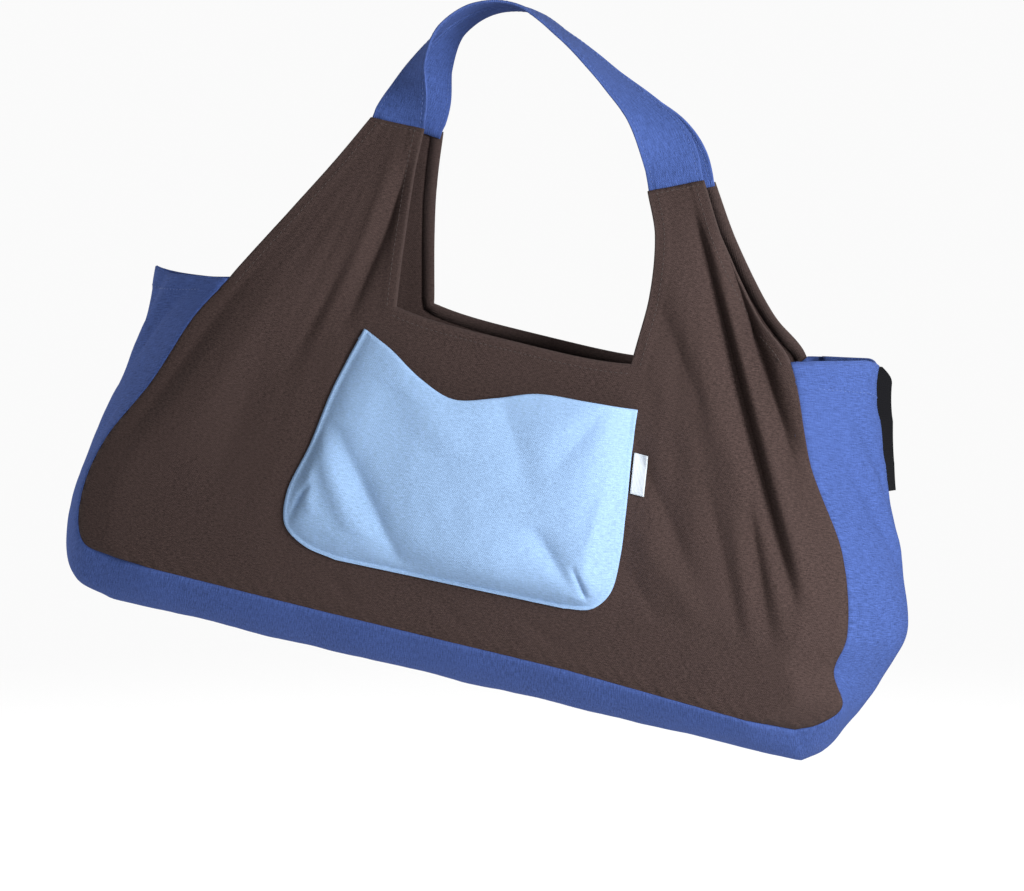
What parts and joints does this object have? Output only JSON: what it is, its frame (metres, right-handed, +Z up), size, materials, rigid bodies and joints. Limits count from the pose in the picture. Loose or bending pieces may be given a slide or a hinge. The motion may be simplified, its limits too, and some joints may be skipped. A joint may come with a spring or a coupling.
{
  "type": "yoga mat bag",
  "caption": "Soft canvas yoga mat bag with brown panels, a blue gusset and shoulder straps, and a light blue front pocket.",
  "frame": {"origin": "the underside of the crown of the two shoulder straps, where the bag hangs", "axes": "+X along the length of the bag to the right seen from the pocket side, +Y to the back, +Z up; the bag hangs tilted, right end low"},
  "size_m": [0.7173, 0.1995, 0.6188],
  "materials": {
    "brown_canvas": "matt plain woven cotton canvas, dark brown",
    "blue_canvas": "matt slubby cotton canvas, mid blue",
    "sky_canvas": "matt slubby cotton canvas, light blue",
    "black_webbing": "flat woven webbing, black",
    "white_label": "smooth woven ribbon, off-white and plain"
  },
  "bodies": {
    "root": {"front_panel": "brown_canvas", "back_panel": "brown_canvas", "gusset": "blue_canvas", "front_pocket": "sky_canvas", "strap_front": "blue_canvas", "strap_back": "blue_canvas", "end_strap": "black_webbing", "label": "white_label"}
  },
  "joints": []
}
